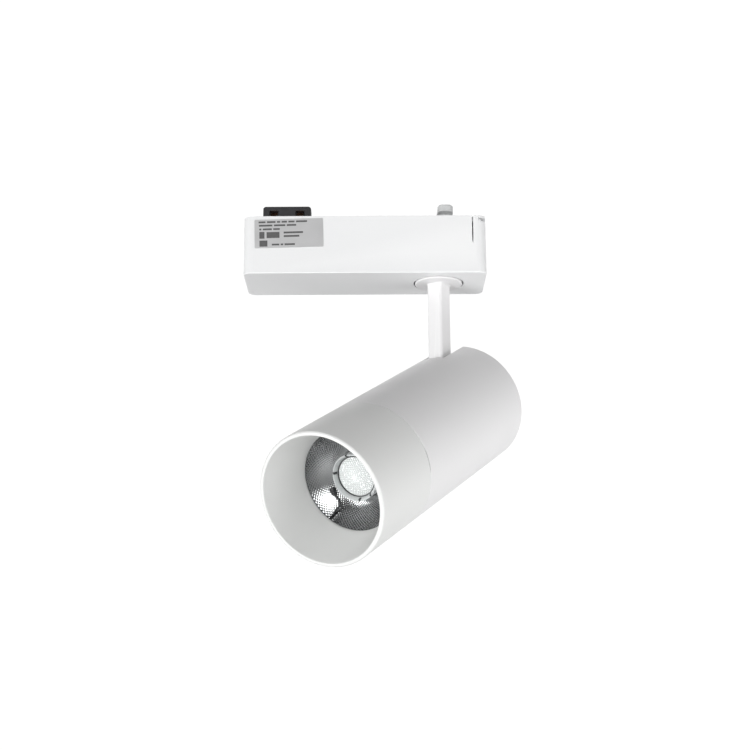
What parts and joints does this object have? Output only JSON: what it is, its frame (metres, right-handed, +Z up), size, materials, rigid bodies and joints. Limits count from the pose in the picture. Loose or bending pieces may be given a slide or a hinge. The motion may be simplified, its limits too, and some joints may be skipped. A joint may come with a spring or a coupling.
{
  "type": "track spotlight",
  "caption": "White track-mounted spotlight: a driver box with a track adapter, a slim stem and a tiltable cylindrical lamp head with a recessed faceted optic.",
  "frame": {"origin": "middle of the raised land on top of the adapter box, the face that rests against the underside of the track", "axes": "+X along the track, towards the stem's end of the box; +Y across the track; +Z up, into the track; the lamp hangs below"},
  "size_m": [0.1359, 0.1471, 0.189],
  "materials": {
    "white_box": "fine satin moulded white",
    "white_metal": "powder-coated satin white",
    "white_front": "powder-coated satin white",
    "white_plastic": "moulded white",
    "grey_plastic": "moulded light grey",
    "dark_plastic": "moulded black",
    "label": "satin silver film",
    "copper": "sprung copper alloy",
    "brass": "turned brass",
    "zinc_steel": "zinc-plated steel",
    "fibre": "pressed fibre",
    "circuit_board": "green solder mask",
    "ferrite": "fired ferrite",
    "winding_tape": "yellow polyester tape",
    "film_yellow": "glossy yellow box",
    "can_sleeve": "shrunk sleeve",
    "terminal_green": "moulded green",
    "wire_sheath": "soft white sheath",
    "black_wire": "soft black sheath",
    "aluminium": "turned aluminium",
    "pad_grey": "soft silicone",
    "white_board": "white solder mask on metal",
    "phosphor": "phosphor gel",
    "pearl_lens": "pearled beaded lens",
    "silver": "vacuum-metallised facets",
    "clear": "clear polished"
  },
  "bodies": {
    "adapter": {"adapter_housing": "white_box", "top_cover": "white_box", "cover_screws": "zinc_steel", "contact_nib": "dark_plastic", "live_contact": "copper", "neutral_contact": "copper", "earth_contact": "copper", "rating_label": "label", "driver_board": "circuit_board", "board_screws": "zinc_steel", "transformer_core": "ferrite", "transformer_winding": "winding_tape", "input_capacitor": "film_yellow", "bulk_capacitor": "can_sleeve", "output_capacitor": "can_sleeve", "filter_choke": "ferrite", "bridge_rectifier": "dark_plastic", "fuse": "dark_plastic", "output_terminal": "terminal_green", "supply_leads": "wire_sheath", "output_lead": "wire_sheath", "swivel_plate": "zinc_steel", "plate_screws": "zinc_steel", "stop_peg": "zinc_steel"},
    "lock": {"lock_cam": "grey_plastic", "lock_lever": "grey_plastic", "lever_screw": "zinc_steel"},
    "swivel": {"stem": "white_metal", "swivel_nipple": "brass", "friction_washer": "fibre", "stop_washer": "zinc_steel", "spring_washer": "zinc_steel", "swivel_nut": "brass", "stem_lead": "wire_sheath"},
    "head": {"rear_housing": "white_metal", "rear_cap": "white_metal", "cap_screws": "white_metal", "heatsink": "aluminium", "yoke": "zinc_steel", "yoke_screws": "zinc_steel", "pivot_bolt": "zinc_steel", "pivot_nut": "zinc_steel", "pivot_washers": "fibre", "thermal_pad": "pad_grey", "led_board": "white_board", "led_emitter": "phosphor", "led_holder": "white_plastic", "holder_screws": "zinc_steel", "lens_barrel": "grey_plastic", "lens": "pearl_lens", "reflector": "silver", "clear_cover": "clear", "lens_holder": "white_plastic", "front_tube": "white_front", "lead_connector": "dark_plastic", "lamp_lead": "black_wire"}
  },
  "joints": [
    {"name": "pan", "type": "hinge", "parent": "adapter", "child": "swivel", "pos_m": [0.0363, 0, -0.0302], "axis": [0, 0, 1], "range_deg": [-226, 111]},
    {"name": "tilt", "type": "hinge", "parent": "swivel", "child": "head", "pos_m": [0.0363, 0, -0.1001], "axis": [0.8429, -0.538, 0], "range_deg": [-2, 62.5]},
    {"name": "lock_turn", "type": "hinge", "parent": "adapter", "child": "lock", "pos_m": [0.04, 0, -0.003], "axis": [0, 0, 1], "range_deg": [0, 90]}
  ]
}
